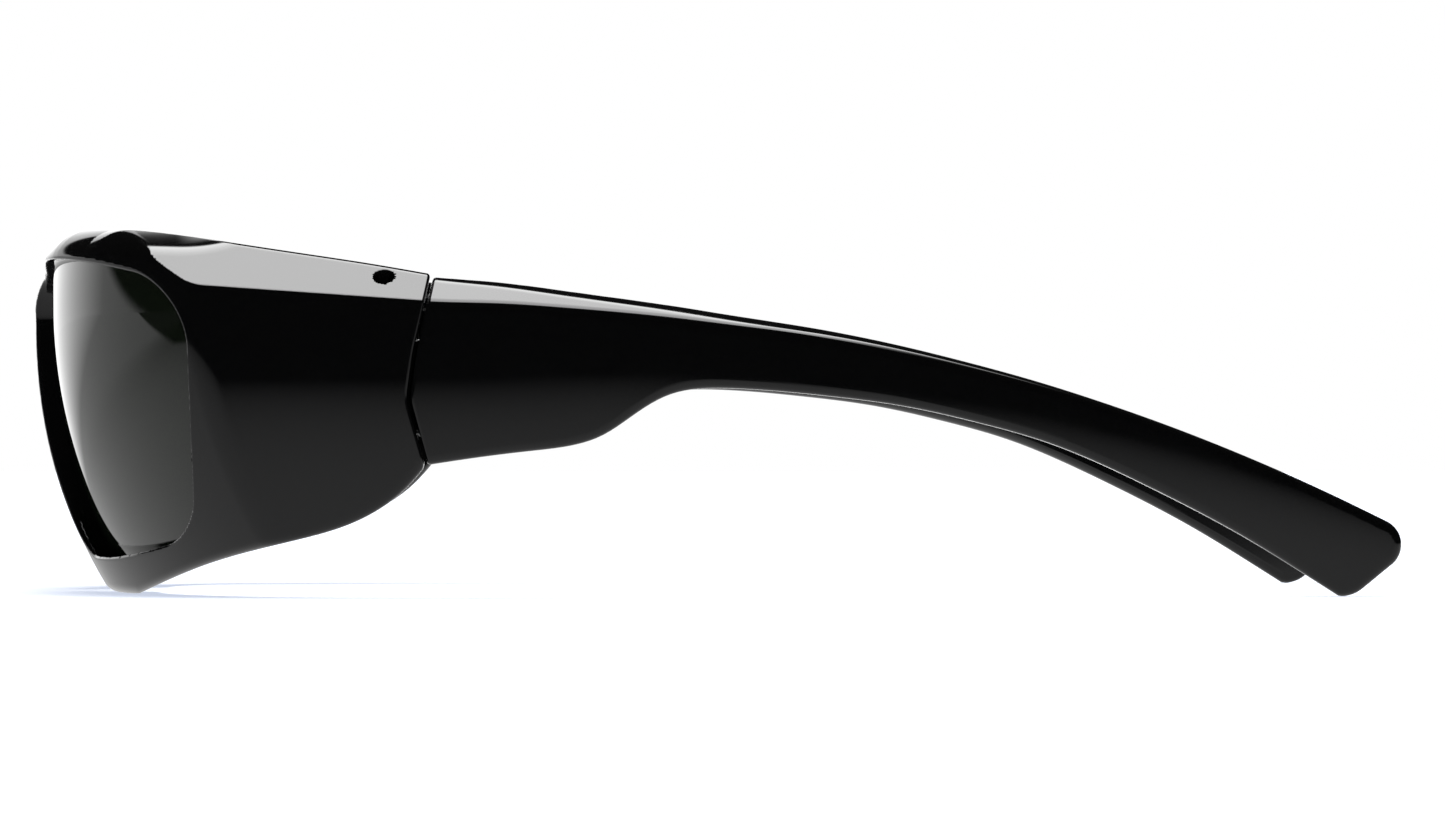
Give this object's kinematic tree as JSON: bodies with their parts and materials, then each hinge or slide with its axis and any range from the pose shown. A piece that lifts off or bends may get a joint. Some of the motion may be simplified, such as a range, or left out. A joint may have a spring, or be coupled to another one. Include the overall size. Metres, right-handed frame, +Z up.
{
  "type": "welding safety glasses",
  "caption": "Wraparound welding spectacles: glossy black frame with side shields, dark green lenses, broad curved folding temples and soft nose pads.",
  "frame": {"origin": "centre of the footprint, on the table the glasses stand on", "axes": "+X to the wearer's left, -Y out of the front of the lenses, +Z up"},
  "size_m": [0.1468, 0.1661, 0.0442],
  "materials": {
    "frame_plastic": "glossy black",
    "lens": "polished dark green welding shade",
    "pin_steel": "turned steel",
    "pad_rubber": "soft matt black"
  },
  "bodies": {
    "front": {"front_frame": "frame_plastic", "left_lens": "lens", "right_lens": "lens", "left_hinge_pin": "pin_steel", "right_hinge_pin": "pin_steel", "left_nose_pad": "pad_rubber", "right_nose_pad": "pad_rubber"},
    "temple_left": {"left_temple": "frame_plastic"},
    "temple_right": {"right_temple": "frame_plastic"}
  },
  "joints": [
    {"name": "left_temple_fold", "type": "hinge", "parent": "front", "child": "temple_left", "pos_m": [0.06732, -0.0391, 0.024], "axis": [0, 0, 1], "range_deg": [0, 94]},
    {"name": "right_temple_fold", "type": "hinge", "parent": "front", "child": "temple_right", "pos_m": [-0.06732, -0.0391, 0.024], "axis": [0, 0, -1], "range_deg": [0, 86]}
  ]
}
